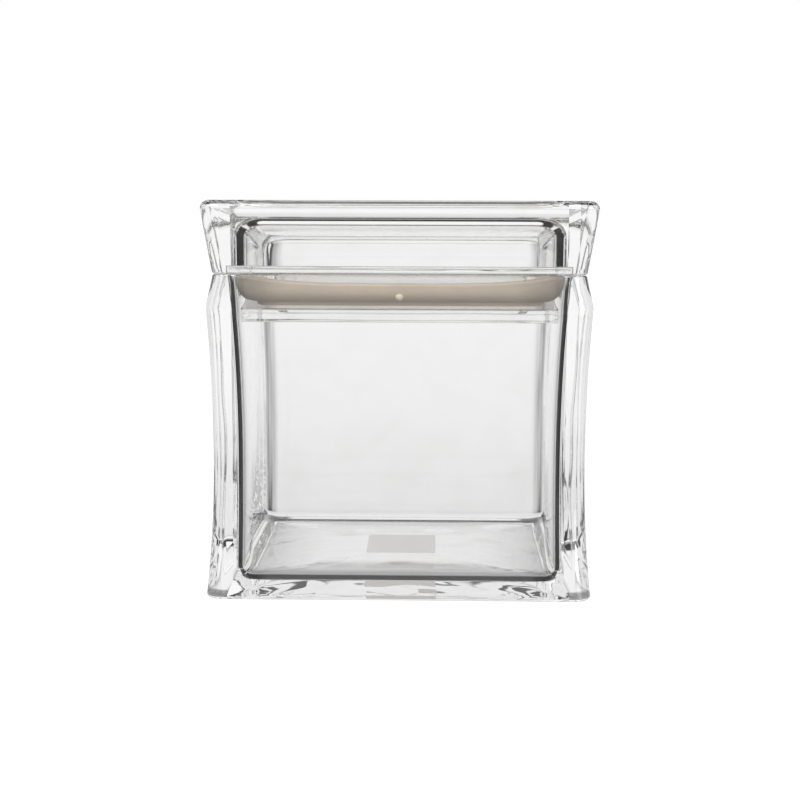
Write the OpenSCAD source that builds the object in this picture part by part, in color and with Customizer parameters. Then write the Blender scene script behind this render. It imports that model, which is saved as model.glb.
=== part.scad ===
// Clear square canister: a waisted jar and a hollow lid that lifts straight off.
// A silicone lip seal sits in a groove under the lid and wipes the inside of the jar.
// Millimetres, Z up, origin on the table under the middle of the jar.

/* [Jar] */
// Height of the jar from the table to its rim
jar_h = 99.5; // [80:0.5:140]
// Width across the base, just above the rounded foot
base_w = 118.4; // [114:0.2:126]
// Width across the waist, the narrowest part of the jar
waist_w = 114; // [111:0.5:116]
// Height of the waist above the table
waist_z = 42; // [30:1:55]
// Width across the shoulder, the widest part below the rim
shoulder_w = 117.6; // [115:0.2:124]
// Drop from the rim to the shoulder
shoulder_drop = 10; // [6:0.5:16]
// Width across the rim, which the lid's foot matches
rim_w = 114; // [110:0.5:118]
// Radius of the jar's upright outer edges
upright_r = 5.5; // [1.5:0.5:7]
// Radius of the rounded edge where the walls meet the underside
foot_r = 1.2; // [0.6:0.2:3]
// Width of the flat foot that the jar stands on
foot_land = 5; // [3:0.5:10]
// Radius of the rounded edges of the rim and of the lid's foot
rim_edge_r = 0.8; // [0.4:0.1:1.2]

/* [Inside of the jar] */
// Thickness of the wall at the waist
wall_t = 6.8; // [3.8:0.1:8]
// Thickness of the wall at the rim
rim_t = 4.2; // [2.8:0.1:4.5]
// How much the inside widens on each side from the waist to the floor
floor_flare = 0.5; // [0:0.1:1.5]
// Thickness of the floor above the foot
floor_t = 4; // [3:0.5:10]
// Rise of the floor and of the underside at the middle
crown_h = 2.2; // [0.6:0.1:2.8]
// Radius of the upright inside corners
cavity_r = 5.6; // [3:0.1:8]
// Radius of the fillet between the floor and the walls
floor_r = 5; // [1.5:0.5:6]
// How much higher that fillet reaches up the middle of each wall than at the corners
floor_bow = 2; // [0:0.2:4]

/* [Lid] */
// Height of the lid above the rim
lid_h = 22.2; // [18:0.1:40]
// How far each side of the lid leans out from its foot to its top
lid_flare = 3; // [1:0.5:8]
// Radius of the rounded edge around the lid's top
lid_edge_r = 2.6; // [1:0.1:2.8]
// Radius of the lid's upright outer edges
lid_upright_r = 4.5; // [3:0.5:8]
// Thickness of the lid's roof
roof_t = 4.4; // [3:0.2:8]
// Width of the ledge inside the lid that the flange plate is bonded to
ledge_w = 1.5; // [0.5:0.1:5]
// Radius of the upright corners of the hollow in the lid
hollow_r = 9.5; // [3:0.5:12]
// Radius of the fillet between that hollow's ceiling and its walls
ceiling_r = 6.2; // [1.5:0.1:7]

/* [Flange plate and retainer] */
// Thickness of the flange plate
flange_t = 2.6; // [1.5:0.1:5]
// Gap between the flange plate's edge and the line of the jar's mouth
flange_clear = 0.3; // [0.1:0.1:2]
// Gap for the bond around the flange plate
bond_gap = 0.1; // [0.05:0.05:0.3]
// Thickness of the retainer's plate
retainer_t = 3.4; // [2:0.2:6]
// Gap between the retainer's plate and the jar's wall
retainer_clear = 2.4; // [1:0.2:6]
// Radius of the retainer plate's upright corners
retainer_r = 2; // [1:0.1:8]
// Depth of the groove that the retainer's neck makes for the seal
groove_d = 7.4; // [6:0.2:12]
// Thickness of the neck's walls
neck_t = 3; // [2:0.5:6]
// Radius of the neck's upright outer corners
neck_r = 4; // [3.5:0.5:6]

/* [Seal] */
// Gap between the seal's lip and the jar's wall
seal_clear = 0.2; // [0.1:0.05:0.5]
// Gap between the seal's foot and the neck and plate that hold it
seal_fit = 0.1; // [0.05:0.05:0.3]
// Radius of the lip's rounded outer face
lip_r = 8; // [6:0.5:9]
// Thickness of the lip
lip_t = 1.8; // [1:0.1:2.4]
// Drop from the flange plate to the level where the lip stands upright
lip_drop = 1.9; // [1.3:0.1:4]
// How much the lip's free edge dips along the middle of each side
lip_dip = 2.2; // [0:0.2:4]
// Height of the seal's foot below its lip
seal_foot_h = 1.3; // [0.5:0.1:4]
// Diameter of the round pip on the front of the seal
pip_d = 2.7; // [1.5:0.1:4]
// Height of the pip above the bottom of the lip
pip_rise = 2.6; // [2:0.1:4]

/* [Label] */
// Width of the label under the base
label_w = 22.8; // [10:0.2:40]
// Depth of the label from front to back
label_d = 28.4; // [10:0.2:40]
// Thickness of the label
label_t = 0.15; // [0.1:0.05:0.5]
// Flat margin around the label
label_margin = 1; // [0.5:0.5:5]

/* [Hidden] */
// Steps around each rounded corner, along an arc and up a curved wall
corner_steps = 6;
arc_steps = 5;
wall_steps = 8;
// Steps along each straight side of the jar, whose fillet is bowed, and of the seal, whose edge dips
bow_steps = 4;
dip_steps = 8;
// Powers of the curves of that bow and that dip
bow_power = 2;
dip_power = 4;
// Smallest corner radius of a ring, so that no corner is a doubled point
least_r = 0.2;
// Heights that the pieces share
shoulder_z = jar_h - shoulder_drop;
lid_top_z = jar_h + lid_h;
ceiling_z = lid_top_z - roof_t;
lip_z = jar_h - lip_drop;
groove_h = lip_drop + lip_r + seal_foot_h;
retainer_top_z = jar_h - groove_h;
pip_z = lip_z - lip_r + pip_rise;
// Half widths that the pieces share
mouth_half = rim_w / 2 - rim_t;
waist_cavity_half = waist_w / 2 - wall_t;
lid_top_half = rim_w / 2 + lid_flare;
flange_half = mouth_half - flange_clear;
rebate_half = flange_half + bond_gap;
hollow_half = flange_half - ledge_w;
lip_half = min([for (a = spread(-90, 0, arc_steps), dip = [0, lip_dip])
    cavity_half(lip_z + lip_r * sin(a) - dip * (1 + sin(a))) + lip_r * (1 - cos(a))]) - seal_clear;
lip_centre = lip_half - lip_r;
retainer_half = cavity_half(retainer_top_z - retainer_t) - retainer_clear;
neck_half = retainer_half - groove_d;
pip_face = lip_centre + sqrt(pow(lip_r, 2) - pow(lip_r - pip_rise / (1 - lip_dip / lip_r), 2));
pip_reach = min(pip_face, cavity_half(pip_z) - seal_clear - pip_d / 2);
foot_half = base_w / 2 - foot_r - foot_land;
label_pad_half = max(label_w, label_d) / 2 + label_margin;
// Colours
clear_plastic = [0.88, 0.91, 0.91, 0.35];
taupe = [0.74, 0.69, 0.63];
label_grey = [0.82, 0.81, 0.8];

// Half width of the jar's outside at height z: two curves that meet at the waist, then the sloped neck.
function jar_half(z) =
    z < waist_z ? waist_w / 2 + (base_w - waist_w) / 2 * pow((waist_z - z) / waist_z, 2)
    : z < shoulder_z ? waist_w / 2 + (shoulder_w - waist_w) / 2 * pow((z - waist_z) / (shoulder_z - waist_z), 2)
    : shoulder_w / 2 + (rim_w - shoulder_w) / 2 * (z - shoulder_z) / shoulder_drop;

// Half width of the jar's inside at height z: a little wider at the floor than at the waist, and opening to the mouth.
function cavity_half(z) =
    z < waist_z ? waist_cavity_half + floor_flare * pow((waist_z - z) / waist_z, 2)
    : waist_cavity_half + (mouth_half - waist_cavity_half) * pow((z - waist_z) / (jar_h - waist_z), 2);

// Rise of the crowned floor and underside at half width u: flat over the label, then falling to reach.
function crown(u, reach) = crown_h * (1 - pow((u - label_pad_half) / (reach - label_pad_half), 2));

// Points of an arc about a centre in the section plane, from one angle to another.
function arc(u, z, r, from, to) =
    [for (i = [0:arc_steps]) let (a = from + (to - from) * i / arc_steps) [u + r * cos(a), z + r * sin(a)]];

// Steps from one value to another, both included.
function spread(from, to, steps) = [for (i = [0:steps]) from + (to - from) * i / steps];

// Section points given one corner radius, or one that shrinks as the section draws in from half width edge.
function cornered(points, r) = [for (p = points) [p[0], p[1], r, 0]];
function drawn_in(points, edge, r) = [for (p = points) [p[0], p[1], max(least_r, r - (edge - p[0])), 0]];

// One ring of a section point [half width, height, corner radius, bow]: a rounded square, anticlockwise from above.
// The bow raises the ring along the middle of each side, or lowers it if it is negative.
function ring(p, side_steps, power) = [
    for (c = [0:3])
        let (a0 = 90 * c, inner = p[0] - p[2], cx = inner * sign(cos(a0 + 45)), cy = inner * sign(sin(a0 + 45)))
        each concat(
            [for (a = spread(a0, a0 + 90, corner_steps)) [cx + p[2] * cos(a), cy + p[2] * sin(a), p[1]]],
            [for (i = [1:1:side_steps - 1]) let (t = 1 - 2 * i / side_steps)
                [t * inner * sin(a0 + 90) + p[0] * cos(a0 + 90),
                 -t * inner * cos(a0 + 90) + p[0] * sin(a0 + 90), p[1] + p[3] * (1 - pow(abs(t), power))]])
];

// A solid whose section is carried around a rounded square. An open section starts and ends in flat caps of
// triangles around a middle point, and a closed one makes a square ring.
module carried_round(section, side_steps = 1, power = 1, closed = false) {
    n = 4 * (corner_steps + side_steps);
    m = len(section);
    spans = closed ? m : m - 1;
    points = concat(
        [for (p = section) each ring(p, side_steps, power)],
        closed ? [] : [for (p = [section[0], section[m - 1]]) [0, 0, p[1]]]);
    sides = [for (k = [0:spans - 1], j = [0:n - 1])
        let (k2 = (k + 1) % m, j2 = (j + 1) % n)
        each [[k * n + j, k2 * n + j, k2 * n + j2], [k * n + j, k2 * n + j2, k * n + j2]]];
    caps = closed ? [] : [for (j = [0:n - 1])
        let (j2 = (j + 1) % n, last = (m - 1) * n)
        each [[m * n, j, j2], [m * n + 1, last + j2, last + j]]];
    polyhedron(points, concat(sides, caps));
}

// A square with true round corners.
module round_square(half, r) {
    square([2 * half, 2 * (half - r)], center = true);
    square([2 * (half - r), 2 * half], center = true);
    for (x = [-1, 1], y = [-1, 1])
        translate([x * (half - r), y * (half - r)]) circle(r);
}

// The jar, from the middle of its underside, out to the foot, up the wall, over the rim and down to the floor.
module jar_body() {
    fillet_z = floor_t + floor_r;
    floor_half = cavity_half(fillet_z);
    crown_half = floor_half - floor_r;
    underside = [for (u = spread(label_pad_half, foot_half, arc_steps)) [u, crown(u, foot_half)]];
    foot = arc(jar_half(foot_r) - foot_r, foot_r, foot_r, -90, 0);
    lower_wall = [for (z = spread(foot_r, waist_z, wall_steps)) [jar_half(z), z]];
    upper_wall = [for (z = spread(waist_z, shoulder_z, wall_steps)) [jar_half(z), z]];
    rim_outer = arc(rim_w / 2 - rim_edge_r, jar_h - rim_edge_r, rim_edge_r, 0, 90);
    rim_inner = arc(mouth_half + rim_edge_r, jar_h - rim_edge_r, rim_edge_r, 90, 180);
    upper_cavity = [for (z = spread(jar_h - rim_edge_r, waist_z, wall_steps)) [cavity_half(z), z]];
    lower_cavity = [for (z = spread(waist_z, fillet_z, bow_steps))
        [cavity_half(z), z, cavity_r, floor_bow * (waist_z - z) / (waist_z - fillet_z)]];
    fillet = drawn_in(arc(crown_half, fillet_z, floor_r, 0, -90), floor_half, cavity_r);
    floor_crown = [for (u = spread(crown_half, label_pad_half, arc_steps)) [u, floor_t + crown(u, crown_half)]];
    color(clear_plastic)
    carried_round(concat(
        cornered(underside, least_r),
        drawn_in(foot, base_w / 2, upright_r),
        cornered([for (i = [1:wall_steps]) lower_wall[i]], upright_r),
        cornered([for (i = [1:wall_steps]) upper_wall[i]], upright_r),
        drawn_in(rim_outer, rim_w / 2, upright_r),
        cornered(rim_inner, cavity_r),
        cornered([for (i = [1:wall_steps]) upper_cavity[i]], cavity_r),
        [for (i = [1:bow_steps - 1]) lower_cavity[i]],
        [for (p = fillet) [p[0], p[1], p[2], floor_bow * (p[1] - floor_t) / floor_r]],
        cornered([for (i = [1:arc_steps]) floor_crown[i]], least_r)), bow_steps, bow_power);
}

// The plain sticker on the flat middle of the underside.
module base_label() {
    color(label_grey)
    translate([-label_w / 2, -label_d / 2, crown_h - label_t])
    cube([label_w, label_d, label_t]);
}

// The hollow lid, from the middle of its ceiling, down its inside to the ledge and the foot, and up to its top.
module lid_cover() {
    ledge_z = jar_h + flange_t + bond_gap;
    ceiling = arc(hollow_half - ceiling_r, ceiling_z - ceiling_r, ceiling_r, 90, 0);
    rebate = [[rebate_half, ledge_z], [rebate_half, jar_h]];
    foot = arc(rim_w / 2 - rim_edge_r, jar_h + rim_edge_r, rim_edge_r, -90, 0);
    top = arc(lid_top_half - lid_edge_r, lid_top_z - lid_edge_r, lid_edge_r, 0, 90);
    color(clear_plastic)
    carried_round(concat(
        drawn_in(ceiling, hollow_half, hollow_r),
        cornered([[hollow_half, ledge_z]], hollow_r),
        cornered(rebate, least_r),
        drawn_in(foot, rim_w / 2, lid_upright_r),
        drawn_in(top, lid_top_half, lid_upright_r)));
}

// The flat plate that closes the lid, flush with its foot.
module flange_plate() {
    color(clear_plastic)
    translate([-flange_half, -flange_half, jar_h])
    cube([2 * flange_half, 2 * flange_half, flange_t]);
}

// The lower plate with its square hollow neck, which reaches up to the flange plate.
module retainer() {
    color(clear_plastic) {
        translate([0, 0, retainer_top_z - retainer_t])
        linear_extrude(retainer_t)
        round_square(retainer_half, retainer_r);
        translate([0, 0, retainer_top_z])
        linear_extrude(groove_h)
        difference() {
            round_square(neck_half, neck_r);
            round_square(neck_half - neck_t, neck_r - neck_t);
        }
    }
}

// The seal: a foot around the neck, a lip that curves up to the jar's wall, and a pip on its front.
module gasket() {
    foot_half = neck_half + seal_fit;
    foot_z = retainer_top_z + seal_fit;
    lip_inner_r = lip_r - lip_t;
    outer_face = arc(lip_centre, lip_z, lip_r, -90, 0);
    free_edge = arc(lip_half - lip_t / 2, lip_z, lip_t / 2, 0, 180);
    inner_face = arc(lip_centre, lip_z, lip_inner_r, 0, -90);
    foot = [[foot_half, lip_z - lip_inner_r], [foot_half, foot_z], [lip_centre, foot_z]];
    section = concat(outer_face, [for (i = [1:arc_steps]) free_edge[i]], [for (i = [1:arc_steps]) inner_face[i]], foot);
    lip_bottom = lip_z - lip_r;
    color(taupe) {
        carried_round(
            [for (p = section) [p[0], p[1],
                neck_r + seal_fit + (cavity_r - neck_r) * (p[0] - foot_half) / (lip_half - foot_half),
                -lip_dip * min(1, max(0, (p[1] - lip_bottom) / lip_r))]],
            dip_steps, dip_power, closed = true);
        translate([0, -pip_reach, pip_z])
        sphere(d = pip_d, $fn = 32);
    }
}

jar_body();
base_label();
lid_cover();
flange_plate();
retainer();
gasket();
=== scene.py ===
# %% [markdown]
# # A clear square canister with a sealed lid
#
# The canister is two thick clear mouldings, a waisted jar and a hollow lid, with a soft taupe seal
# between them. Clear plastic has hardly any colour of its own: what shows is how its shape bends the
# light of the room. So this lesson spends its effort on smooth, closed, exactly placed surfaces first,
# then on the finishes, and last on a plain studio whose light and dark the plastic can bend.

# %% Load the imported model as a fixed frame
import math
from collections import namedtuple

import bmesh
import bpy
from mathutils import Matrix, Vector


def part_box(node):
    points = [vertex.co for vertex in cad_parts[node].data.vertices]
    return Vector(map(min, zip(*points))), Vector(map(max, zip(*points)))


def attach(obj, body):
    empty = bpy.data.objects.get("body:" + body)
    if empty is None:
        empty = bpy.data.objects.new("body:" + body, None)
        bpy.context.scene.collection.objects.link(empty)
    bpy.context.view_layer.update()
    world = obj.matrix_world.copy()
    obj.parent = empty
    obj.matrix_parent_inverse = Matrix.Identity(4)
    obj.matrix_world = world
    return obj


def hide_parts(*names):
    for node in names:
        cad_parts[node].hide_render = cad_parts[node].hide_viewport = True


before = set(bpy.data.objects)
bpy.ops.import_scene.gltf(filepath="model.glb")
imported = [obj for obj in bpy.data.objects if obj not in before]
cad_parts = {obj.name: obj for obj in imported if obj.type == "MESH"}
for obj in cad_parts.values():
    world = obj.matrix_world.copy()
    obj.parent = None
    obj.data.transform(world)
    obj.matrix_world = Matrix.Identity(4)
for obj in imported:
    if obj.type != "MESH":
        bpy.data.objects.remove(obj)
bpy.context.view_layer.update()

print("CAD nodes:", sorted(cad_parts))

# %% [markdown]
# ## Working with nodes
#
# Every finish here is drawn with shader nodes, so that it has no pictures to carry along. A node tree
# is easy to read when each line makes one node, sets what stays the same and links what changes. These
# few helpers do only that.

# %% Helpers for node trees


def new_material(name):
    """A new material and its Principled shader."""
    material = bpy.data.materials.new(name)
    material.use_nodes = True
    return material, material.node_tree.nodes["Principled BSDF"]


def add_node(tree, kind, **settings):
    """A new node of that kind, with its properties and its named inputs set."""
    node = tree.nodes.new(kind)
    for key, value in settings.items():
        if key in node.inputs:
            node.inputs[key].default_value = value
        else:
            setattr(node, key, value)
    return node


def link_math(tree, operation, *values):
    """A Math node's output, fed by sockets or plain numbers."""
    node = add_node(tree, "ShaderNodeMath", operation=operation)
    for value, socket in zip(values, node.inputs):
        if isinstance(value, bpy.types.NodeSocket):
            tree.links.new(value, socket)
        else:
            socket.default_value = value
    return node.outputs[0]


def link_range(tree, value, low, high):
    """A socket's values from 0 to 1, spread from low to high."""
    node = add_node(tree, "ShaderNodeMapRange")
    tree.links.new(value, node.inputs["Value"])
    node.inputs["To Min"].default_value = low
    node.inputs["To Max"].default_value = high
    return node.outputs["Result"]


def link_ramp(tree, value, stops):
    """A Color Ramp over a socket, given as (position, grey level or colour) stops."""
    node = add_node(tree, "ShaderNodeValToRGB")
    ramp = node.color_ramp
    while len(ramp.elements) < len(stops):
        ramp.elements.new(1)
    for element, (position, colour) in zip(ramp.elements, stops):
        element.position = position
        element.color = (*colour, 1) if isinstance(colour, tuple) else (colour, colour, colour, 1)
    tree.links.new(value, node.inputs["Fac"])
    return node.outputs["Color"]


def link_levels(tree, value, levels):
    """A ramp over value of grey levels that are given at the value's own readings, lowest first."""
    low, high = levels[0][0], levels[-1][0]
    share = link_math(tree, "DIVIDE", link_math(tree, "SUBTRACT", value, low), high - low)
    return link_ramp(tree, share, [((at - low) / (high - low), level) for at, level in levels])


def link_axes(tree):
    """Sockets for how far along X, Y and Z a place on an object lies, without signs."""
    place = add_node(tree, "ShaderNodeTexCoord")
    size = add_node(tree, "ShaderNodeVectorMath", operation="ABSOLUTE")
    tree.links.new(place.outputs["Object"], size.inputs[0])
    axes = add_node(tree, "ShaderNodeSeparateXYZ")
    tree.links.new(size.outputs["Vector"], axes.inputs[0])
    return axes.outputs


def link_bump(tree, height, depth, shader):
    """Feed a height, 0 to 1, to the shader's normal as bumps of that depth in metres."""
    bump = add_node(tree, "ShaderNodeBump", Distance=depth)
    tree.links.new(height, bump.inputs["Height"])
    tree.links.new(bump.outputs["Normal"], shader.inputs["Normal"])


def mix_shaders(tree, factor, first, second):
    """A Mix Shader's output."""
    node = add_node(tree, "ShaderNodeMixShader")
    for socket, output in zip(node.inputs, (factor, first, second)):
        tree.links.new(output, socket)
    return node.outputs["Shader"]


# %% [markdown]
# ## Effects that the finishes share
#
# Three small effects turn up more than once: the slow waviness that a thick moulding gets as it cools, the
# faint marks of handling, and fine grain. Each is a node group that reads a place and a scale, so it is
# built once and every finish sets its own scale.

# %% Shared effects as node groups
MARK_STOPS = [(0.5, 0), (0.75, 1)]


def new_group(name, output):
    """A node group with a Vector and a Scale coming in and one value going out."""
    group = bpy.data.node_groups.new(name, "ShaderNodeTree")
    group.interface.new_socket(name="Vector", in_out="INPUT", socket_type="NodeSocketVector")
    group.interface.new_socket(name="Scale", in_out="INPUT", socket_type="NodeSocketFloat")
    group.interface.new_socket(name=output, in_out="OUTPUT", socket_type="NodeSocketFloat")
    return group, group.nodes.new("NodeGroupInput"), group.nodes.new("NodeGroupOutput")


def group_noise(group, source, **settings):
    """A noise inside a group, at the group's own place and scale."""
    noise = add_node(group, "ShaderNodeTexNoise", **settings)
    group.links.new(source.outputs["Vector"], noise.inputs["Vector"])
    group.links.new(source.outputs["Scale"], noise.inputs["Scale"])
    return noise.outputs["Fac"]


def make_slow_waves():
    """One smooth noise, as a height."""
    group, source, result = new_group("slow_waves", "Height")
    group.links.new(group_noise(group, source, Detail=0), result.inputs["Height"])
    return group


def make_handling_marks():
    """Scattered cloudy patches, as a mask."""
    group, source, result = new_group("handling_marks", "Mask")
    cloud = group_noise(group, source, Detail=3, Distortion=0.4)
    spread_out = link_ramp(group, cloud, MARK_STOPS)
    group.links.new(spread_out, result.inputs["Mask"])
    return group


def make_fine_grain():
    """A rough, detailed noise, as a height."""
    group, source, result = new_group("fine_grain", "Height")
    group.links.new(group_noise(group, source, Detail=4, Roughness=0.6), result.inputs["Height"])
    return group


slow_waves = make_slow_waves()
handling_marks = make_handling_marks()
fine_grain = make_fine_grain()
print("node groups:", [group.name for group in bpy.data.node_groups])


def place_group(tree, group, scale, output):
    """A shared effect in a material, laid over the piece by its Object coordinates."""
    node = add_node(tree, "ShaderNodeGroup", node_tree=group)
    node.inputs["Scale"].default_value = scale
    place = add_node(tree, "ShaderNodeTexCoord")
    tree.links.new(place.outputs["Object"], node.inputs["Vector"])
    return node.outputs[output]


# %% [markdown]
# ## Clear plastic
#
# Acrylic bends light a little less than glass does. The Principled shader does the bending by itself once
# its transmission is full, so only what a real moulding adds is drawn with nodes: slow waves in its skin,
# deeper ones at the corners and the base, where it is thick and shrinks most as it cools, and handling
# marks that dull and tint it very slightly. Modelling such waves would take a very fine mesh, and a bump
# bends the light just as well. Light that falls on the seal and the table goes straight through, as a
# Transparent shader lets it, because light that is bent so many times on its way to a matt surface would
# take very long to gather.

# %% Clear plastic
ACRYLIC_IOR = 1.49
CLEAN_TINT = (0.955, 0.957, 0.955)
MARKED_TINT = (0.93, 0.93, 0.925)
SHADE_TINT = (0.95, 0.95, 0.95, 1)
WAVES_PER_M = 38
WAVE_DEPTH = 0.00006
THICK_CORNER = [(0.0505, 0), (0.054, 1)]
THICK_BASE = [(0.0025, 1), (0.006, 0)]
SINKS_PER_M = 60
CORNER_SINKS = 12
BASE_SINKS = 6
MARKS_PER_M = 70
MOST_DULL = 0.04


def moulded_skin(tree):
    """Slow waves all over, and deeper ones where a moulding is thick and shrinks as it cools."""
    axes = link_axes(tree)
    corner = link_levels(tree, link_math(tree, "MINIMUM", axes["X"], axes["Y"]), THICK_CORNER)
    base = link_levels(tree, axes["Z"], THICK_BASE)
    corner_depth = link_math(tree, "MULTIPLY", corner, CORNER_SINKS)
    base_depth = link_math(tree, "MULTIPLY", base, BASE_SINKS)
    thick = link_math(tree, "MAXIMUM", corner_depth, base_depth)
    waves = place_group(tree, slow_waves, WAVES_PER_M, "Height")
    sinks = place_group(tree, slow_waves, SINKS_PER_M, "Height")
    return link_math(tree, "MULTIPLY_ADD", sinks, thick, waves)


def make_clear_plastic():
    """Polished plastic that bends what is seen, and lets light for matt surfaces straight through."""
    material, shader = new_material("clear_plastic")
    tree = material.node_tree
    shader.inputs["IOR"].default_value = ACRYLIC_IOR
    shader.inputs["Transmission Weight"].default_value = 1
    link_bump(tree, moulded_skin(tree), WAVE_DEPTH, shader)
    marks = place_group(tree, handling_marks, MARKS_PER_M, "Mask")
    tints = link_ramp(tree, marks, [(0, CLEAN_TINT), (1, MARKED_TINT)])
    tree.links.new(tints, shader.inputs["Base Color"])
    tree.links.new(link_range(tree, marks, 0, MOST_DULL), shader.inputs["Roughness"])
    path = add_node(tree, "ShaderNodeLightPath")
    lighting = link_math(tree, "MAXIMUM", path.outputs["Is Shadow Ray"], path.outputs["Is Diffuse Ray"])
    straight = add_node(tree, "ShaderNodeBsdfTransparent", Color=SHADE_TINT)
    shown = mix_shaders(tree, lighting, shader.outputs["BSDF"], straight.outputs["BSDF"])
    tree.links.new(shown, tree.nodes["Material Output"].inputs["Surface"])
    return material


# %% [markdown]
# ## Silicone and paper
#
# The seal is moulded silicone: matt, a little dusty, and with a skin as fine as an eggshell's. Its free edge
# and its corners are painted darker, as painted shade. The label under the base is plain paper, whose
# fibres give it a slightly uneven grey. Both could be one flat colour from a distance, but the seal is large
# in the picture and the label is seen through two clear faces, so each gets its own grain.

# %% Silicone and paper
SEAL_COLOUR = (0.68, 0.575, 0.455)
DUSTY_SEAL = (0.72, 0.625, 0.51)
# painted shade: the colour towards the seal's free edge and into its corners
SHADED_SEAL = (0.22, 0.195, 0.165)
CLEAN_SHARE = 0.85
SEAL_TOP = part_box("gasket")[1].z
LIP_SHADE = [(SEAL_TOP - 0.0055, 1), (SEAL_TOP - 0.001, 0.35)]
CORNER_SHADE = [(0.036, 1), (0.048, 0.25)]
SEAL_GRAIN_PER_M = 1400
SEAL_GRAIN_DEPTH = 0.00003
SEAL_ROUGHNESS = (0.4, 0.65)
PAPER_GREYS = [(0.3, (0.56, 0.545, 0.53)), (0.7, (0.64, 0.62, 0.605))]
PAPER_ROUGHNESS = (0.6, 0.85)
FIBRES_PER_M = 2600
FIBRE_DEPTH = 0.00002


def make_silicone():
    """Matt silicone, dusty in patches, with painted shade that darkens its free edge and its corners."""
    material, shader = new_material("taupe_silicone")
    tree = material.node_tree
    grain = place_group(tree, fine_grain, SEAL_GRAIN_PER_M, "Height")
    dust = place_group(tree, handling_marks, MARKS_PER_M, "Mask")
    axes = link_axes(tree)
    # painted shade: darker towards the lip's free edge and into the corners, mixed with real dust
    corner = link_levels(tree, link_math(tree, "MINIMUM", axes["X"], axes["Y"]), CORNER_SHADE)
    free = link_math(tree, "MULTIPLY", corner, link_levels(tree, axes["Z"], LIP_SHADE))
    clean = link_math(tree, "MULTIPLY", free, CLEAN_SHARE)
    dust_and_shade = link_math(tree, "MULTIPLY_ADD", dust, 1 - CLEAN_SHARE, clean)
    tones = [(0, SHADED_SEAL), (CLEAN_SHARE, SEAL_COLOUR), (1, DUSTY_SEAL)]
    tree.links.new(link_ramp(tree, dust_and_shade, tones), shader.inputs["Base Color"])
    tree.links.new(link_range(tree, grain, *SEAL_ROUGHNESS), shader.inputs["Roughness"])
    link_bump(tree, grain, SEAL_GRAIN_DEPTH, shader)
    return material


def make_label_paper():
    """Plain paper, slightly uneven in colour, gloss and height."""
    material, shader = new_material("label_paper")
    tree = material.node_tree
    fibres = place_group(tree, fine_grain, FIBRES_PER_M, "Height")
    tree.links.new(link_ramp(tree, fibres, PAPER_GREYS), shader.inputs["Base Color"])
    tree.links.new(link_range(tree, fibres, *PAPER_ROUGHNESS), shader.inputs["Roughness"])
    link_bump(tree, fibres, FIBRE_DEPTH, shader)
    return material


finishes = {
    "clear_plastic": make_clear_plastic(),
    "taupe_silicone": make_silicone(),
    "label_paper": make_label_paper(),
}
print("finishes:", list(finishes))

# %% [markdown]
# ## Carrying a section round a square
#
# Every clear piece here is square from above, with rounded corners, and has its own outline when cut down
# the middle. A lathe would spin such an outline round an axis. Here each piece starts as one rounded
# square face and is extruded ring by ring along its outline instead, and each new ring is fitted to the
# width, height and corner radius that the outline asks for. A ring's sides can also bow up or down
# between their corners, as a few of the real edges do.

# %% Tools for square pieces
CORNER_STEPS = 16
ARC_STEPS = 12
WALL_STEPS = 20
LEAST_R = 0.0002
SHARP_ANGLE = math.radians(32)
Ring = namedtuple("Ring", "half z r bow", defaults=[0])


def spread(start, end, steps):
    """Evenly spaced values from start to end, both included."""
    return [start + (end - start) * i / steps for i in range(steps + 1)]


def arc(u, z, r, start, end):
    """Outline points (half width, height) along an arc, with its angles in degrees."""
    angles = [math.radians(a) for a in spread(start, end, ARC_STEPS)]
    return [(u + r * math.cos(a), z + r * math.sin(a)) for a in angles]


def cornered(points, r):
    """Outline points that share one corner radius, as rings."""
    return [Ring(u, z, r) for u, z in points]


def drawn_in(points, edge, r):
    """Outline points whose corner radius shrinks as they draw in from half width edge, as rings."""
    return [Ring(u, z, max(LEAST_R, r - (edge - u))) for u, z in points]


def easing(points, edge, r):
    """Outline points whose corner radius grows from the least at half width edge to r in the middle."""
    return [Ring(u, z, LEAST_R + (r - LEAST_R) * (1 - (u / edge) ** 2)) for u, z in points]


def fit_ring(verts, old, new, power):
    """Move a ring of vertices from one rounded square to another, and bow its sides."""
    old_core = old.half - old.r
    new_core = new.half - new.r
    for vert in verts:
        core = Vector([max(-old_core, min(old_core, c)) for c in vert.co.xy])
        around = (vert.co.xy - core) / old.r
        along = min(abs(core.x), abs(core.y)) / old_core
        vert.co.xy = core * (new_core / old_core) + around * new.r
        vert.co.z = new.z + new.bow * (1 - along ** power)


def square_start(mesh, ring, side_steps):
    """One rounded square face, the first ring of a piece, with its sides cut into steps."""
    made = bmesh.ops.create_grid(mesh, x_segments=1, y_segments=1, size=ring.half)
    bmesh.ops.translate(mesh, verts=made["verts"], vec=(0, 0, ring.z))
    bmesh.ops.bevel(
        mesh, geom=made["verts"], offset=ring.r, affect="VERTICES",
        segments=CORNER_STEPS, profile=0.5, material=-1,
    )
    sides = [edge for edge in mesh.edges if edge.calc_length() > ring.half]
    bmesh.ops.delete(mesh, geom=mesh.faces[:], context="FACES_ONLY")
    bmesh.ops.subdivide_edges(mesh, edges=sides, cuts=side_steps - 1)
    return bmesh.ops.edgenet_fill(mesh, edges=mesh.edges)["faces"][0]


def carry_round(mesh, rings, side_steps=2, power=2):
    """Extrude a rounded square along its rings, and return the last face."""
    face = square_start(mesh, rings[0], side_steps)
    for old, new in zip(rings, rings[1:]):
        face = bmesh.ops.extrude_discrete_faces(mesh, faces=[face])["faces"][0]
        fit_ring(face.verts, old, new, power)
    return face


# %% [markdown]
# ## Finishing a piece
#
# A finished piece is one closed skin with its normals outwards, smooth where it curves and sharp only at
# true edges. Smooth shading alone would bend the light near an edge of a flat face, which shows at once in
# clear plastic, so a Weighted Normal modifier keeps the large faces flat. Each piece then stands for its
# CAD node, rides on that node's body and takes that node's material slot.

# %% Finishing a piece


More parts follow.
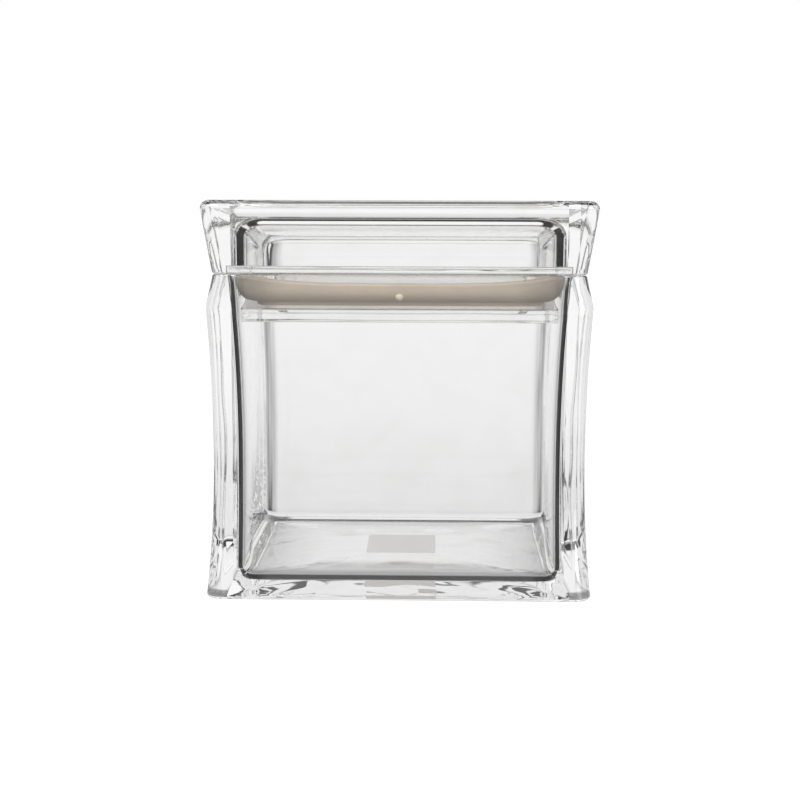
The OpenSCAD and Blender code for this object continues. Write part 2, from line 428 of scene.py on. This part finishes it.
def open_edges(mesh):
    """The edges that only one face meets."""
    return [edge for edge in mesh.edges if edge.is_boundary]


def finish_piece(mesh, name, node, body, slot):
    """Turn a bmesh into a smooth piece that stands for a CAD node."""
    bmesh.ops.holes_fill(mesh, edges=open_edges(mesh))
    bmesh.ops.recalc_face_normals(mesh, faces=mesh.faces)
    for face in mesh.faces:
        face.smooth = True
    for edge in mesh.edges:
        edge.smooth = edge.calc_face_angle(0) < SHARP_ANGLE
    data = bpy.data.meshes.new(name)
    mesh.to_mesh(data)
    mesh.free()
    data.materials.append(finishes[slot])
    piece = bpy.data.objects.new(name, data)
    bpy.context.scene.collection.objects.link(piece)
    weighted = piece.modifiers.new("flat_faces_stay_flat", "WEIGHTED_NORMAL")
    weighted.keep_sharp = True
    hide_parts(node)
    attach(piece, body)
    print(name, len(data.vertices), "vertices,", len(data.polygons), "faces")


# %% [markdown]
# ## The jar
#
# The jar is one thick moulding. Outside it draws in to a waist, swells to a shoulder and slopes in to its
# rim; inside it follows that waist a little and opens to the mouth, so its walls are wedges that bend what is
# seen through them. The floor is crowned a little and sits in a fillet that reaches higher along the
# middle of each wall. One outline goes from the underside out to the foot, up the outside, over the rim and
# down to the floor, so the whole jar is a single unbroken skin.

# %% The jar's outline
JAR_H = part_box("jar_body")[1].z
BASE_W = 0.1184
WAIST_W = 0.114
WAIST_Z = 0.042
SHOULDER_W = 0.1176
SHOULDER_DROP = 0.010
RIM_W = 0.114
UPRIGHT_R = 0.0055
FOOT_R = 0.0012
FOOT_LAND = 0.005
RIM_EDGE_R = 0.0008
WALL_T = 0.0068
RIM_T = 0.0042
FLOOR_FLARE = 0.0005
FLOOR_T = 0.004
CROWN_H = 0.0022
CAVITY_R = 0.0056
FLOOR_R = 0.005
FLOOR_BOW = 0.002
CROWN_CORNER_R = 0.01
LABEL_MARGIN = 0.001
BOW_STEPS = 24
AIR_GAP = 0.00004

SHOULDER_Z = JAR_H - SHOULDER_DROP
MOUTH_HALF = RIM_W / 2 - RIM_T
WAIST_CAVITY_HALF = WAIST_W / 2 - WALL_T
FOOT_HALF = BASE_W / 2 - FOOT_R - FOOT_LAND
label_low, label_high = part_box("base_label")
PAD_HALF = max(label_high.x, label_high.y) + LABEL_MARGIN
print("label pad", round(2000 * PAD_HALF, 1), "mm across")


def jar_half(z):
    """Half width of the jar's outside: two curves that meet at the waist, then the sloped neck."""
    if z < WAIST_Z:
        return WAIST_W / 2 + (BASE_W - WAIST_W) / 2 * ((WAIST_Z - z) / WAIST_Z) ** 2
    if z < SHOULDER_Z:
        return WAIST_W / 2 + (SHOULDER_W - WAIST_W) / 2 * ((z - WAIST_Z) / (SHOULDER_Z - WAIST_Z)) ** 2
    return SHOULDER_W / 2 + (RIM_W - SHOULDER_W) / 2 * (z - SHOULDER_Z) / SHOULDER_DROP


def cavity_half(z):
    """Half width of the jar's inside: a little wider at the floor than at the waist, opening to the mouth."""
    if z < WAIST_Z:
        return WAIST_CAVITY_HALF + FLOOR_FLARE * ((WAIST_Z - z) / WAIST_Z) ** 2
    rise = (z - WAIST_Z) / (JAR_H - WAIST_Z)
    return WAIST_CAVITY_HALF + (MOUTH_HALF - WAIST_CAVITY_HALF) * rise ** 2


def crown(u, reach):
    """Rise of the crowned floor and underside: flat over the label, then falling to reach."""
    return CROWN_H * (1 - ((u - PAD_HALF) / (reach - PAD_HALF)) ** 2)


# %% The jar


def jar_outside():
    """Rings from the middle of the underside, out to the foot and up to the rim."""
    rim_z = JAR_H - AIR_GAP
    underside = [(u, crown(u, FOOT_HALF)) for u in spread(PAD_HALF, FOOT_HALF, ARC_STEPS)]
    foot = arc(jar_half(FOOT_R) - FOOT_R, FOOT_R, FOOT_R, -90, 0)
    lower_wall = [(jar_half(z), z) for z in spread(FOOT_R, WAIST_Z, WALL_STEPS)]
    upper_wall = [(jar_half(z), z) for z in spread(WAIST_Z, SHOULDER_Z, WALL_STEPS)]
    rim = arc(RIM_W / 2 - RIM_EDGE_R, rim_z - RIM_EDGE_R, RIM_EDGE_R, 0, 90)
    return [
        *easing(underside, FOOT_HALF, CROWN_CORNER_R),
        *drawn_in(foot, BASE_W / 2, UPRIGHT_R),
        *cornered(lower_wall[1:] + upper_wall[1:], UPRIGHT_R),
        *drawn_in(rim, RIM_W / 2, UPRIGHT_R),
    ]


def jar_inside():
    """Rings from the rim down the inside to the middle of the floor."""
    rim_z = JAR_H - AIR_GAP
    fillet_z = FLOOR_T + FLOOR_R
    floor_half = cavity_half(fillet_z)
    crown_half = floor_half - FLOOR_R
    rim = arc(MOUTH_HALF + RIM_EDGE_R, rim_z - RIM_EDGE_R, RIM_EDGE_R, 90, 180)
    upper_wall = [(cavity_half(z), z) for z in spread(rim_z - RIM_EDGE_R, WAIST_Z, WALL_STEPS)]
    lower_wall = [(cavity_half(z), z) for z in spread(WAIST_Z, fillet_z, WALL_STEPS)[1:-1]]
    fillet = drawn_in(arc(crown_half, fillet_z, FLOOR_R, 0, -90), floor_half, CAVITY_R)
    floor = [(u, FLOOR_T + crown(u, crown_half)) for u in spread(crown_half, PAD_HALF, ARC_STEPS)]
    return [
        *cornered(rim + upper_wall[1:], CAVITY_R),
        *[Ring(u, z, CAVITY_R, FLOOR_BOW * (WAIST_Z - z) / (WAIST_Z - fillet_z)) for u, z in lower_wall],
        *[ring._replace(bow=FLOOR_BOW * (ring.z - FLOOR_T) / FLOOR_R) for ring in fillet],
        *easing(floor[1:], crown_half, CROWN_CORNER_R),
    ]


def make_jar():
    mesh = bmesh.new()
    carry_round(mesh, jar_outside() + jar_inside(), BOW_STEPS)
    finish_piece(mesh, "jar_moulding", "jar_body", "jar", "clear_plastic")


make_jar()

# %% [markdown]
# ## The lid
#
# The lid is a second moulding, a shallow hollow box that flares towards its top and is open underneath. Its
# hollow has generous round corners, which is what draws the dark rounded frame in the upper part of the
# lid. It is carried round in the same way as the jar, from the middle of its ceiling down to its foot and
# back up the outside. A gap far thinner than a hair stays between clear faces that rest on each other,
# because light behaves differently where two skins lie in exactly the same place.

# %% The lid
lid_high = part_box("lid_cover")[1]
LID_TOP_Z = lid_high.z
LID_TOP_HALF = lid_high.x
LID_EDGE_R = 0.0026
LID_UPRIGHT_R = 0.0045
ROOF_T = 0.0044
HOLLOW_R = 0.0095
CEILING_R = 0.0062
LEDGE_W = 0.0015
BOND_GAP = 0.0001
flange_low, flange_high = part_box("flange_plate")
FLANGE_HALF = flange_high.x
REBATE_HALF = FLANGE_HALF + BOND_GAP
HOLLOW_HALF = FLANGE_HALF - LEDGE_W


def make_lid():
    ledge_z = flange_high.z + BOND_GAP
    ceiling_z = LID_TOP_Z - ROOF_T
    foot_z = JAR_H + AIR_GAP
    ceiling = arc(HOLLOW_HALF - CEILING_R, ceiling_z - CEILING_R, CEILING_R, 90, 0)
    foot = arc(RIM_W / 2 - RIM_EDGE_R, foot_z + RIM_EDGE_R, RIM_EDGE_R, -90, 0)
    top = arc(LID_TOP_HALF - LID_EDGE_R, LID_TOP_Z - LID_EDGE_R, LID_EDGE_R, 0, 90)
    mesh = bmesh.new()
    carry_round(mesh, [
        *drawn_in(ceiling, HOLLOW_HALF, HOLLOW_R),
        Ring(HOLLOW_HALF, ledge_z, HOLLOW_R),
        Ring(REBATE_HALF, ledge_z, LEAST_R),
        Ring(REBATE_HALF, foot_z, LEAST_R),
        *drawn_in(foot, RIM_W / 2, LID_UPRIGHT_R),
        *drawn_in(top, LID_TOP_HALF, LID_UPRIGHT_R),
    ])
    finish_piece(mesh, "lid_moulding", "lid_cover", "lid", "clear_plastic")


make_lid()

# %% [markdown]
# ## The two plates under the lid
#
# A flat flange plate closes the lid's hollow, and under it a second plate with a square neck makes the
# groove that holds the seal. Both are clear too, and their polished edges are the bright strips above and
# below the seal. A plain box would have razor edges that catch no light, so every edge that shows is
# rounded by a fraction of a millimetre.

# %% The flange plate and the retainer
PLATE_EDGE_R = 0.0003
PLATE_CORNER_R = 0.0008
GROOVE_D = 0.0074
NECK_T = 0.003
NECK_R = 0.004
RETAINER_T = 0.0034
RETAINER_R = 0.002


def plate_edge(half, low_z, high_z, corner_r):
    """Rings up the edge of a plate, with its lower and upper edges rounded."""
    middle = half - PLATE_EDGE_R
    lower = arc(middle, low_z + PLATE_EDGE_R, PLATE_EDGE_R, -90, 0)
    upper = arc(middle, high_z - PLATE_EDGE_R, PLATE_EDGE_R, 0, 90)
    return drawn_in(lower + upper, half, corner_r)


def make_flange():
    mesh = bmesh.new()
    carry_round(mesh, plate_edge(FLANGE_HALF, flange_low.z + AIR_GAP, flange_high.z, PLATE_CORNER_R))
    finish_piece(mesh, "flange_sheet", "flange_plate", "lid", "clear_plastic")


retainer_low, retainer_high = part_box("retainer")
PLATE_TOP_Z = retainer_low.z + RETAINER_T
NECK_HALF = retainer_high.x - GROOVE_D


def make_retainer():
    neck_top_z = retainer_high.z - AIR_GAP
    mesh = bmesh.new()
    carry_round(mesh, [
        *plate_edge(retainer_high.x, retainer_low.z, PLATE_TOP_Z, RETAINER_R),
        Ring(NECK_HALF, PLATE_TOP_Z, NECK_R),
        Ring(NECK_HALF, neck_top_z, NECK_R),
        Ring(NECK_HALF - NECK_T, neck_top_z, NECK_R - NECK_T),
        Ring(NECK_HALF - NECK_T, PLATE_TOP_Z, NECK_R - NECK_T),
    ])
    finish_piece(mesh, "retainer_moulding", "retainer", "lid", "clear_plastic")


make_flange()
make_retainer()

# %% [markdown]
# ## The seal
#
# The seal is a ring of soft silicone: a foot that grips the neck, and a lip that curves out and up to wipe
# the jar's wall. The lip's free edge dips along the middle of each side. It is carried round as the clear
# pieces are, and its last ring is then bridged to its first, so that it closes on itself. The small round
# pip on its front is a ball that a Boolean fuses to the lip, because only then does the skin stay one.

# %% The seal
seal_low, seal_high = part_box("gasket")
SEAL_FIT = 0.0001
SEAL_CLEAR = 0.0002
LIP_HALF = seal_high.x
LIP_R = 0.008
LIP_T = 0.0018
LIP_DROP = 0.0019
LIP_DIP = 0.0022
DIP_STEPS = 32
DIP_POWER = 4
PIP_D = 0.0027
PIP_RISE = 0.0026
PIP_SMOOTHNESS = 4
LIP_Z = JAR_H - LIP_DROP
LIP_BOTTOM_Z = LIP_Z - LIP_R


def seal_rings():
    """Rings around the seal's section: outer face, free edge, inner face and foot."""
    centre = LIP_HALF - LIP_R
    inner_r = LIP_R - LIP_T
    foot_half = NECK_HALF + SEAL_FIT
    outline = [
        *arc(centre, LIP_Z, LIP_R, -90, 0),
        *arc(LIP_HALF - LIP_T / 2, LIP_Z, LIP_T / 2, 0, 180)[1:],
        *arc(centre, LIP_Z, inner_r, 0, -90)[1:],
        (foot_half, LIP_Z - inner_r),
        (foot_half, seal_low.z),
        (centre, seal_low.z),
    ]
    rings = []
    for u, z in outline:
        outwards = (u - foot_half) / (LIP_HALF - foot_half)
        upwards = min(1, max(0, (z - LIP_BOTTOM_Z) / LIP_R))
        corner_r = NECK_R + SEAL_FIT + (CAVITY_R - NECK_R) * outwards
        rings.append(Ring(u, z, corner_r, -LIP_DIP * upwards))
    return rings


def fuse(first, second):
    """One skin around two closed bmeshes, made by Blender's Boolean."""
    pieces = []
    for mesh in (first, second):
        data = bpy.data.meshes.new("to_fuse")
        mesh.to_mesh(data)
        mesh.free()
        pieces.append(bpy.data.objects.new("to_fuse", data))
        bpy.context.scene.collection.objects.link(pieces[-1])
    union = pieces[0].modifiers.new("fuse", "BOOLEAN")
    union.operation = "UNION"
    union.object = pieces[1]
    fused = bmesh.new()
    fused.from_object(pieces[0], bpy.context.evaluated_depsgraph_get())
    for piece in pieces:
        bpy.data.objects.remove(piece)
    return fused


def make_pip():
    """The ball that shows as a pip: its middle is on the lip's face, or less far out to clear the wall."""
    pip_z = LIP_BOTTOM_Z + PIP_RISE
    undipped_rise = PIP_RISE / (1 - LIP_DIP / LIP_R)
    face = LIP_HALF - LIP_R + math.sqrt(LIP_R ** 2 - (LIP_R - undipped_rise) ** 2)
    reach = min(face, cavity_half(pip_z) - SEAL_CLEAR - PIP_D / 2)
    ball = bmesh.new()
    place = Matrix.Translation((0, -reach, pip_z))
    bmesh.ops.create_icosphere(ball, subdivisions=PIP_SMOOTHNESS, radius=PIP_D / 2, matrix=place)
    return ball


def make_seal():
    mesh = bmesh.new()
    last = carry_round(mesh, seal_rings(), DIP_STEPS, DIP_POWER)
    bmesh.ops.delete(mesh, geom=[last], context="FACES_ONLY")
    bmesh.ops.bridge_loops(mesh, edges=open_edges(mesh))
    bmesh.ops.recalc_face_normals(mesh, faces=mesh.faces)
    finish_piece(fuse(mesh, make_pip()), "seal_ring", "gasket", "lid", "taupe_silicone")


make_seal()

# %% [markdown]
# ## The label
#
# A plain paper label sticks to the flat middle of the underside, and is seen through the floor. It is a
# thin sheet with its corners rounded by a vertex bevel and extruded to its thickness.

# %% The label
LABEL_CORNER_R = 0.0008


def make_label():
    mesh = bmesh.new()
    sheet = bmesh.ops.create_grid(mesh, x_segments=1, y_segments=1, size=1)["verts"]
    bmesh.ops.scale(mesh, verts=sheet, vec=(label_high.x, label_high.y, 1))
    bmesh.ops.translate(mesh, verts=sheet, vec=(0, 0, label_low.z))
    bmesh.ops.bevel(
        mesh, geom=sheet, offset=LABEL_CORNER_R, affect="VERTICES",
        segments=CORNER_STEPS, profile=0.5, material=-1,
    )
    top = bmesh.ops.extrude_discrete_faces(mesh, faces=mesh.faces[:])["faces"][0]
    thickness = label_high.z - label_low.z + AIR_GAP
    bmesh.ops.translate(mesh, verts=top.verts, vec=(0, 0, thickness))
    finish_piece(mesh, "base_sticker", "base_label", "jar", "label_paper")


make_label()

# %% [markdown]
# ## The studio
#
# A photographer lights clear plastic by what stands around it: a bright backdrop shows through the middle,
# and dark cards beside it draw the edges as dark lines. Real cards would have to stand where the camera
# doesn't see them. Here the Light Path node tells what is seen by way of the plastic from what isn't, and
# only that meets the light and dark of the studio. The camera itself sees plain white, and matt surfaces
# are lit by an even white sky and two soft lamps.

# %% Light that is seen in the plastic
scene = bpy.context.scene
scene.view_settings.view_transform = "Standard"
scene.cycles.max_bounces = 32
scene.cycles.transmission_bounces = 32
scene.cycles.glossy_bounces = 24
scene.cycles.transparent_max_bounces = 64
print("light is followed through up to", scene.cycles.max_bounces, "bounces")


def seen_in_plastic(tree):
    """1 for what the camera sees by way of clear plastic, bent through it or bounced off it."""
    path = add_node(tree, "ShaderNodeLightPath")
    bent = link_math(tree, "MAXIMUM", path.outputs["Is Transmission Ray"], path.outputs["Is Glossy Ray"])
    direct = link_math(tree, "LESS_THAN", path.outputs["Diffuse Depth"], 0.5)
    return link_math(tree, "MULTIPLY", bent, direct)


def has_bounced(tree, times):
    """1 for what is seen by way of that many bounces or more, inside the plastic."""
    path = add_node(tree, "ShaderNodeLightPath")
    inside = link_math(tree, "GREATER_THAN", path.outputs["Transmission Depth"], 0.5)
    bounced = link_math(tree, "GREATER_THAN", path.outputs["Glossy Depth"], times - 0.5)
    return link_math(tree, "MULTIPLY", inside, bounced)


def link_mix(tree, factor, first, second):
    """A Mix node's output for plain values."""
    node = add_node(tree, "ShaderNodeMix", data_type="FLOAT")
    for socket, output in zip(node.inputs, (factor, None, first, second)):
        if output is not None:
            tree.links.new(output, socket)
    return node.outputs["Result"]


# %% [markdown]
# ## The floor
#
# The floor is one pale disc. For the camera it is matt and bright, and keeps the canister's soft shadow.
# Seen through the plastic, it carries a painted shadow: bright under the middle of the jar and darker towards
# the foot, where little light gets in. What has also bounced in the plastic finds it painted nearly black
# under the foot and the corners, a painted shadow that draws the dark rounded frame around the jar's floor.
# Beyond the foot it gives way to the sky, so that no far edge of it shows in the walls.

# %% The floor
FLOOR_RADIUS = 3
FLOOR_GREY = (0.2, 0.2, 0.2, 1)
FLOOR_GLOW = 0.85
FLOOR_ROUGHNESS = 0.9
UNDER_SHADOW_LEVELS = [(0, 0.82), (0.025, 0.74), (0.038, 0.5), (0.047, 0.3), (0.055, 0.9)]
UNDER_BOUNCED_SHADOW = [(0, 0.9), (0.030, 0.8), (0.040, 0.45), (0.045, 0.05), (0.0525, 0.05), (0.0545, 0.9)]
UNDER_CORNER_SHADOW = [(0.041, 1), (0.044, 0.03)]
UNDER_EDGE = [(0.0605, 0), (0.064, 1)]


def make_floor_material():
    """Pale and matt for the camera, with painted shadow levels for what is seen by way of the plastic."""
    material, shader = new_material("floor_white")
    tree = material.node_tree
    shader.inputs["Base Color"].default_value = FLOOR_GREY
    shader.inputs["Roughness"].default_value = FLOOR_ROUGHNESS
    shader.inputs["Emission Color"].default_value = (1, 1, 1, 1)
    path = add_node(tree, "ShaderNodeLightPath")
    glow = link_math(tree, "MULTIPLY", path.outputs["Is Camera Ray"], FLOOR_GLOW)
    tree.links.new(glow, shader.inputs["Emission Strength"])
    axes = link_axes(tree)
    from_middle = link_math(tree, "MAXIMUM", axes["X"], axes["Y"])
    under = add_node(tree, "ShaderNodeEmission")
    # painted shadow: seen through the plastic, the floor darkens towards the foot, and nearly black under it
    # and the corners after a bounce
    straight = link_levels(tree, from_middle, UNDER_SHADOW_LEVELS)
    corner = link_levels(tree, link_math(tree, "MINIMUM", axes["X"], axes["Y"]), UNDER_CORNER_SHADOW)
    bounced = link_math(tree, "MULTIPLY", link_levels(tree, from_middle, UNDER_BOUNCED_SHADOW), corner)
    tree.links.new(link_mix(tree, has_bounced(tree, 1), straight, bounced), under.inputs["Strength"])
    beyond = link_levels(tree, from_middle, UNDER_EDGE)
    clear = add_node(tree, "ShaderNodeBsdfTransparent")
    bent = mix_shaders(tree, beyond, under.outputs["Emission"], clear.outputs["BSDF"])
    shown = mix_shaders(tree, seen_in_plastic(tree), shader.outputs["BSDF"], bent)
    tree.links.new(shown, tree.nodes["Material Output"].inputs["Surface"])
    return material


def make_floor():
    mesh = bmesh.new()
    bmesh.ops.create_circle(mesh, cap_ends=True, segments=96, radius=FLOOR_RADIUS)
    data = bpy.data.meshes.new("floor")
    mesh.to_mesh(data)
    mesh.free()
    data.materials.append(make_floor_material())
    floor = bpy.data.objects.new("floor", data)
    scene.collection.objects.link(floor)
    print("floor", 2 * FLOOR_RADIUS, "m across")


make_floor()

# %% [markdown]
# ## The sky
#
# The camera meets a plain white sky, and matt surfaces the same sky at half its strength. What is seen
# straight through the plastic is a white tent with narrow dark uprights, a dark band above them and a white
# roof, the same from all four sides, so the flat walls stay clear from wherever they are looked at. What has
# bounced once or twice in the plastic comes from white panels in front and behind and from dark sides, which
# makes the rounded corners bold. After more bounces it comes from a pale band all round, which keeps the
# corners from turning black.

# %% The sky
SKY_LEVEL = 0.5
QUARTER = 45
TENT_SIDES = [(0, 1), (14, 1), (22, 0.7), (28, 0.35), (30, 0.02), (35, 0.02), (37, 1), (45, 1)]
TENT_HEIGHTS = [(-30, 0), (-24, 1), (33, 1), (35, 0)]
TENT_ENDS = [(-30, 0.9), (0, 0.02), (63, 0.02), (69, 1)]
BACKDROP = [(-20, 0.82), (-11, 0.86), (-6, 0.94), (-2, 1)]
BOUNCED_CONE = [(0, 1), (34, 1), (39, 0.01)]
PANEL_SQUASH = 1.9
BOUNCED_ENDS = [(-42, 0.9), (-34, 0), (63, 0), (69, 1)]
MANY_BOUNCES = 3
BOUNCED_OFTEN = [(-22, 0.05), (-17, 0.85), (20, 0.85), (24, 0.1), (63, 0.1), (69, 1)]


def sky_angles(tree):
    """Sockets for a direction's X, Y and Z, its compass angle and its height, both in degrees."""
    place = add_node(tree, "ShaderNodeTexCoord")
    axes = add_node(tree, "ShaderNodeSeparateXYZ")
    tree.links.new(place.outputs["Generated"], axes.inputs[0])
    x, y, z = axes.outputs
    azimuth = link_math(tree, "DEGREES", link_math(tree, "ARCTAN2", x, y))
    height = link_math(tree, "DEGREES", link_math(tree, "ARCSINE", z))
    return (x, y, z), azimuth, height


def straight_light(tree, azimuth, height, backdrop):
    """The tent that is seen straight through the plastic."""
    sides = link_levels(tree, link_math(tree, "PINGPONG", azimuth, QUARTER), TENT_SIDES)
    walls = link_math(tree, "MULTIPLY", sides, backdrop)
    ends = link_levels(tree, height, TENT_ENDS)
    return link_mix(tree, link_levels(tree, height, TENT_HEIGHTS), ends, walls)


def bounced_light(tree, axes, height, backdrop):
    """White panels in front and behind, round but squashed from above, with dark between them."""
    x, y, z = axes
    up = link_math(tree, "MAXIMUM", z, link_math(tree, "MULTIPLY", z, PANEL_SQUASH))
    aside = link_math(tree, "MULTIPLY", x, x)
    off_axis = link_math(tree, "SQRT", link_math(tree, "MULTIPLY_ADD", up, up, aside))
    to_back = link_math(tree, "ARCTAN2", off_axis, link_math(tree, "ABSOLUTE", y))
    cone = link_levels(tree, link_math(tree, "DEGREES", to_back), BOUNCED_CONE)
    panels = link_math(tree, "MULTIPLY", cone, backdrop)
    return link_math(tree, "MAXIMUM", panels, link_levels(tree, height, BOUNCED_ENDS))


def make_world():
    world = bpy.data.worlds.new("studio")
    scene.world = world
    world.use_nodes = True
    tree = world.node_tree
    axes, azimuth, height = sky_angles(tree)
    backdrop = link_levels(tree, height, BACKDROP)
    straight = straight_light(tree, azimuth, height, backdrop)
    bounced = bounced_light(tree, axes, height, backdrop)
    often = link_levels(tree, height, BOUNCED_OFTEN)
    bounced_or_often = link_mix(tree, has_bounced(tree, MANY_BOUNCES), bounced, often)
    tent = link_mix(tree, has_bounced(tree, 1), straight, bounced_or_often)
    path = add_node(tree, "ShaderNodeLightPath")
    sky = link_range(tree, path.outputs["Is Camera Ray"], SKY_LEVEL, 1)
    background = tree.nodes["Background"]
    background.inputs["Color"].default_value = (1, 1, 1, 1)
    tree.links.new(link_mix(tree, seen_in_plastic(tree), sky, tent), background.inputs["Strength"])
    print("sky made of", len(tree.nodes), "nodes")


make_world()

# %% [markdown]
# ## The lamps
#
# The seal and the label are matt, so they need lamps to show their form. Lamps of a small size would show in
# the plastic as bright spots. Two suns, one high on the left and one lower on the right, are spread wide to
# be soft, and what is seen through the plastic doesn't meet them.

# %% Two soft lamps
LAMP_SPREAD = math.radians(40)
LAMPS = {"key": ((-0.5, -0.75, 0.9), 2.2), "fill": ((0.9, -1, 0.35), 1.4)}


def add_lamp(name, place, strength):
    """A sun, spread wide so that it is soft, that shines from place on matt and glossy surfaces."""
    data = bpy.data.lights.new(name, "SUN")
    data.energy = strength
    data.angle = LAMP_SPREAD
    lamp = bpy.data.objects.new(name, data)
    lamp.location = place
    lamp.rotation_euler = Vector(place).to_track_quat("Z", "Y").to_euler()
    lamp.visible_transmission = False
    scene.collection.objects.link(lamp)


for name, (place, strength) in LAMPS.items():
    add_lamp(name, place, strength)
print("lamps:", list(LAMPS))

# %% [markdown]
# ## The camera
#
# The camera stands just below the level of the lid's top and looks down a little, from a little over half a
# metre away. That is close enough for the back of the jar to look clearly smaller than its front.

# %% The camera
CAMERA_DISTANCE = 0.5605
CAMERA_HEIGHT = 0.1176
CAMERA_PITCH = 6.34
CAMERA_ROLL = -0.2
CAMERA_TURN = 1.1
CAMERA_AIM = 0.1
CAMERA_LENS = 75.3
SENSOR_WIDTH = 36
camera_data = bpy.data.cameras.new("camera")
camera_data.sensor_width = SENSOR_WIDTH
camera_data.lens = CAMERA_LENS
camera = bpy.data.objects.new("camera", camera_data)
turn = math.radians(CAMERA_TURN)
camera.location = (CAMERA_DISTANCE * math.sin(turn), -CAMERA_DISTANCE * math.cos(turn), CAMERA_HEIGHT)
camera.rotation_euler = (
    math.radians(90 - CAMERA_PITCH), math.radians(CAMERA_ROLL), turn + math.radians(CAMERA_AIM))
scene.collection.objects.link(camera)
scene.camera = camera
print("camera at", [round(c, 3) for c in camera.location])
